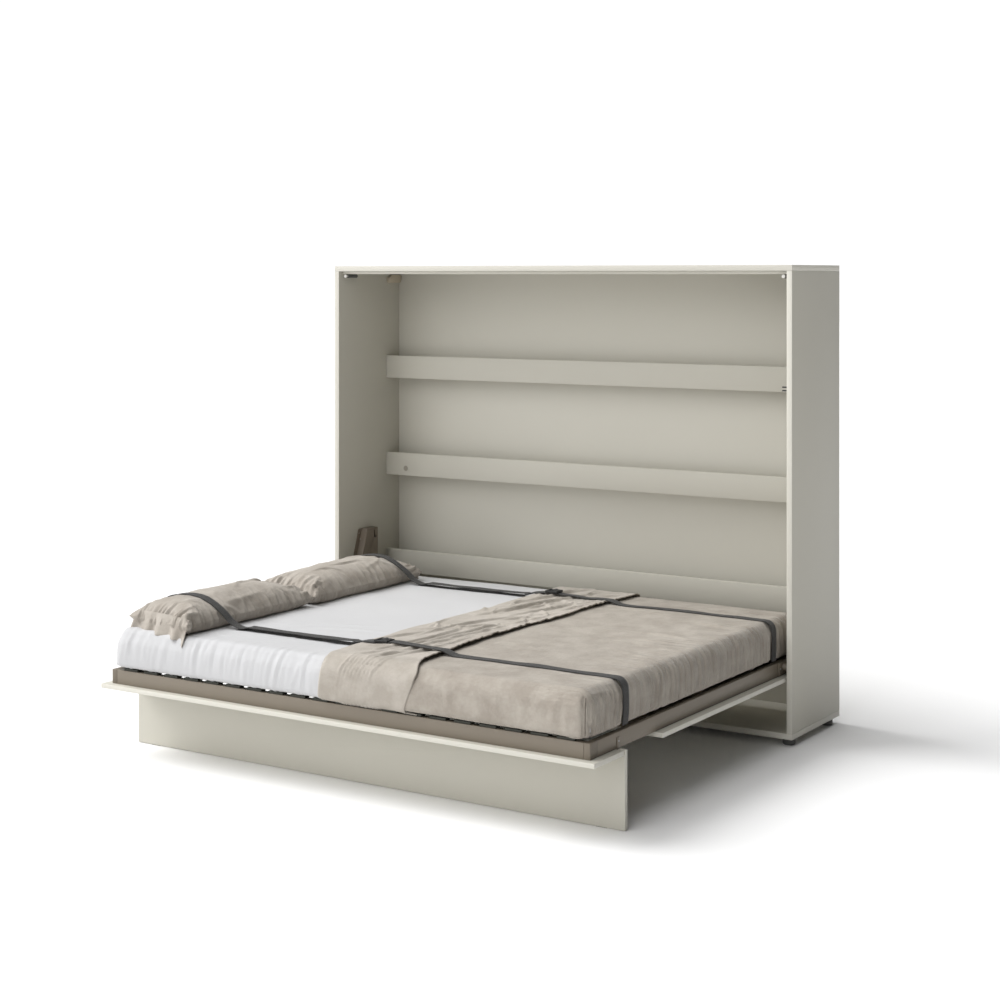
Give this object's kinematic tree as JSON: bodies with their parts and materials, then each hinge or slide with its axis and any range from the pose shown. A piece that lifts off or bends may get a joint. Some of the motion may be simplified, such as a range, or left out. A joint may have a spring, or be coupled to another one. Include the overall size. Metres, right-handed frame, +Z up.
{
  "type": "murphy wall bed",
  "caption": "Low horizontal wall bed: a shallow cabinet with a double bed that folds up into it on side pivots with gas springs, resting on a fold-out leg panel.",
  "frame": {"origin": "on the floor, at the middle of the box round the whole object with the bed open", "axes": "+X along the cabinet to the foot of the bed, +Y towards the wall, +Z up"},
  "size_m": [2.15, 1.907, 1.807],
  "materials": {
    "laminate": "matt cashmere laminate on particle board, edged",
    "hardboard": "matt lacquered hardboard",
    "taupe_steel": "satin powder coat",
    "taupe_plastic": "fine moulded texture",
    "beech": "sprung laminated beech, clear lacquer",
    "dark_plastic": "moulded",
    "black_plastic": "moulded",
    "white_plastic": "moulded",
    "beige_plastic": "moulded",
    "bright_steel": "zinc plated",
    "black_steel": "gloss black lacquer",
    "felt": "pressed felt",
    "sheet_cloth": "white cotton fitted sheet",
    "velvety_cloth": "short-pile velvety cotton",
    "webbing": "woven polyester webbing"
  },
  "bodies": {
    "cabinet": {"side_panel_left": "laminate", "side_panel_right": "laminate", "top_panel": "laminate", "bottom_panel": "laminate", "back_panel": "hardboard", "upper_rail": "laminate", "middle_rail": "laminate", "lower_rail": "laminate", "top_stop_strip": "laminate", "rail_screw_cap": "beige_plastic", "wall_hanger_left": "beige_plastic", "wall_hanger_right": "beige_plastic", "latch_keeper": "black_plastic", "damper_body_left": "dark_plastic", "damper_body_right": "dark_plastic", "pivot_bracket_left": "taupe_steel", "pivot_bracket_right": "taupe_steel", "mechanism_cover_left": "taupe_steel", "mechanism_cover_right": "taupe_steel"},
    "foot_front_left": {"levelling_foot_front_left": "dark_plastic"},
    "foot_front_right": {"levelling_foot_front_right": "dark_plastic"},
    "foot_rear_left": {"levelling_foot_rear_left": "dark_plastic"},
    "foot_rear_right": {"levelling_foot_rear_right": "dark_plastic"},
    "damper_plunger_left": {"damper_plunger_left": "white_plastic"},
    "gas_cylinder_left": {"gas_spring_cylinder_left": "black_steel"},
    "gas_rod_left": {"gas_spring_rod_left": "bright_steel"},
    "damper_plunger_right": {"damper_plunger_right": "white_plastic"},
    "gas_cylinder_right": {"gas_spring_cylinder_right": "black_steel"},
    "gas_rod_right": {"gas_spring_rod_right": "bright_steel"},
    "bed": {"front_strip": "laminate", "main_front_panel": "laminate", "bed_pivot_plate_left": "taupe_steel", "bed_pivot_plate_right": "taupe_steel", "bed_frame_front_rail": "taupe_steel", "bed_frame_rear_rail": "taupe_steel", "bed_frame_left_rail": "taupe_steel", "bed_frame_right_rail": "taupe_steel", "bed_frame_centre_rail": "taupe_steel", "frame_corner_front_left": "taupe_plastic", "frame_corner_front_right": "taupe_plastic", "frame_corner_rear_left": "taupe_plastic", "frame_corner_rear_right": "taupe_plastic", "slats_front": "beech", "slats_rear": "beech", "slat_holders_front": "dark_plastic", "slat_holders_rear": "dark_plastic", "strap_buckle_front": "black_plastic", "strap_buckle_rear": "black_plastic", "leg_hinge_bracket_left": "bright_steel", "leg_hinge_bracket_right": "bright_steel", "mattress": "sheet_cloth", "blanket": "velvety_cloth", "pillow_near": "velvety_cloth", "pillow_far": "velvety_cloth", "strap_front": "webbing", "strap_rear": "webbing"},
    "leg": {"leg_panel": "laminate", "leg_pad_left": "felt", "leg_pad_right": "felt"}
  },
  "joints": [
    {"name": "bed_tilt", "type": "hinge", "parent": "cabinet", "child": "bed", "pos_m": [0, 0.5375, 0.29], "axis": [-1, 0, 0], "range_deg": [0, 90]},
    {"name": "leg_fold", "type": "hinge", "parent": "bed", "child": "leg", "pos_m": [0, -0.7485, 0.251], "axis": [1, 0, 0], "range_deg": [0, 90]},
    {"name": "foot_turn_front_left", "type": "hinge", "parent": "cabinet", "child": "foot_front_left", "pos_m": [-1.041, 0.5405, 0.0145], "axis": [0, 0, 1], "continuous": true},
    {"name": "foot_turn_front_right", "type": "hinge", "parent": "cabinet", "child": "foot_front_right", "pos_m": [1.041, 0.5405, 0.0145], "axis": [0, 0, 1], "continuous": true},
    {"name": "foot_turn_rear_left", "type": "hinge", "parent": "cabinet", "child": "foot_rear_left", "pos_m": [-1.041, 0.9025, 0.0145], "axis": [0, 0, 1], "continuous": true},
    {"name": "foot_turn_rear_right", "type": "hinge", "parent": "cabinet", "child": "foot_rear_right", "pos_m": [1.041, 0.9025, 0.0145], "axis": [0, 0, 1], "continuous": true},
    {"name": "damper_press_left", "type": "slide", "parent": "cabinet", "child": "damper_plunger_left", "axis": [0, 1, 0], "range_m": [0, 0.01], "stiffness_N_per_m": 200, "springref_m": -0.01},
    {"name": "gas_spring_swing_left", "type": "hinge", "parent": "cabinet", "child": "gas_cylinder_left", "pos_m": [-1.0355, 0.6955, 0.619], "axis": [-1, 0, 0], "range_deg": [0, 4.1]},
    {"name": "gas_spring_stroke_left", "type": "slide", "parent": "gas_cylinder_left", "child": "gas_rod_left", "axis": [0, -0.2629, -0.9648], "range_m": [0, 0.103]},
    {"name": "damper_press_right", "type": "slide", "parent": "cabinet", "child": "damper_plunger_right", "axis": [0, 1, 0], "range_m": [0, 0.01], "stiffness_N_per_m": 200, "springref_m": -0.01},
    {"name": "gas_spring_swing_right", "type": "hinge", "parent": "cabinet", "child": "gas_cylinder_right", "pos_m": [1.0355, 0.6955, 0.619], "axis": [-1, 0, 0], "range_deg": [0, 4.1]},
    {"name": "gas_spring_stroke_right", "type": "slide", "parent": "gas_cylinder_right", "child": "gas_rod_right", "axis": [0, -0.2629, -0.9648], "range_m": [0, 0.103]}
  ],
  "couplings": [
    {"joint": "gas_spring_swing_left", "follows": "bed_tilt", "ratio": 0.045428},
    {"joint": "gas_spring_stroke_left", "follows": "bed_tilt", "m_per_rad": 0.065342},
    {"joint": "gas_spring_swing_right", "follows": "bed_tilt", "ratio": 0.045428},
    {"joint": "gas_spring_stroke_right", "follows": "bed_tilt", "m_per_rad": 0.065342}
  ]
}
